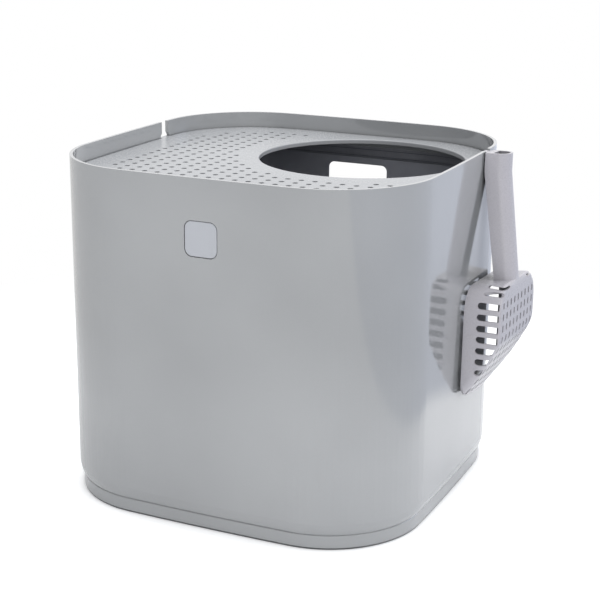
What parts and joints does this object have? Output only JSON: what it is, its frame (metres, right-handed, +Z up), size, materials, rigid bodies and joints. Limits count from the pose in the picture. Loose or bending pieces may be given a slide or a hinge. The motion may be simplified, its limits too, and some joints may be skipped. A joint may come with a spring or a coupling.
{
  "type": "top entry litter box",
  "caption": "Square tub with rounded corners, a perforated swivel lid with a round entry hole sunk in its rim, a lift-out liner and a slotted scoop hung on the side.",
  "frame": {"origin": "on the ground under the middle of the whole, hung scoop included; the tub's own middle is half the scoop's reach towards -X", "axes": "+Z up, -Y is the front with the badge, +X is the side that the scoop hangs on"},
  "size_m": [0.4502, 0.406, 0.3725],
  "materials": {
    "housing": "high gloss grey moulded plastic",
    "badge": "satin grey plate, left blank",
    "liner": "dark waterproof coated cloth",
    "foot": "dark grey rubber",
    "lid": "satin light grey moulded plastic",
    "scoop": "satin grey moulded plastic"
  },
  "bodies": {
    "base": {"housing": "housing", "front_badge": "badge", "liner": "liner", "foot_front_left": "foot", "foot_front_right": "foot", "foot_rear_left": "foot", "foot_rear_right": "foot"},
    "lid": {"lid": "lid"},
    "scoop": {"scoop": "scoop"}
  },
  "joints": [
    {"name": "lid_swivel", "type": "hinge", "parent": "base", "child": "lid", "pos_m": [-0.0221, 0.074, 0.35085], "axis": [-1, 0, 0], "range_deg": [0, 90]},
    {"name": "scoop_lift", "type": "slide", "parent": "base", "child": "scoop", "axis": [0, 0, 1], "range_m": [0, 0.28]}
  ]
}
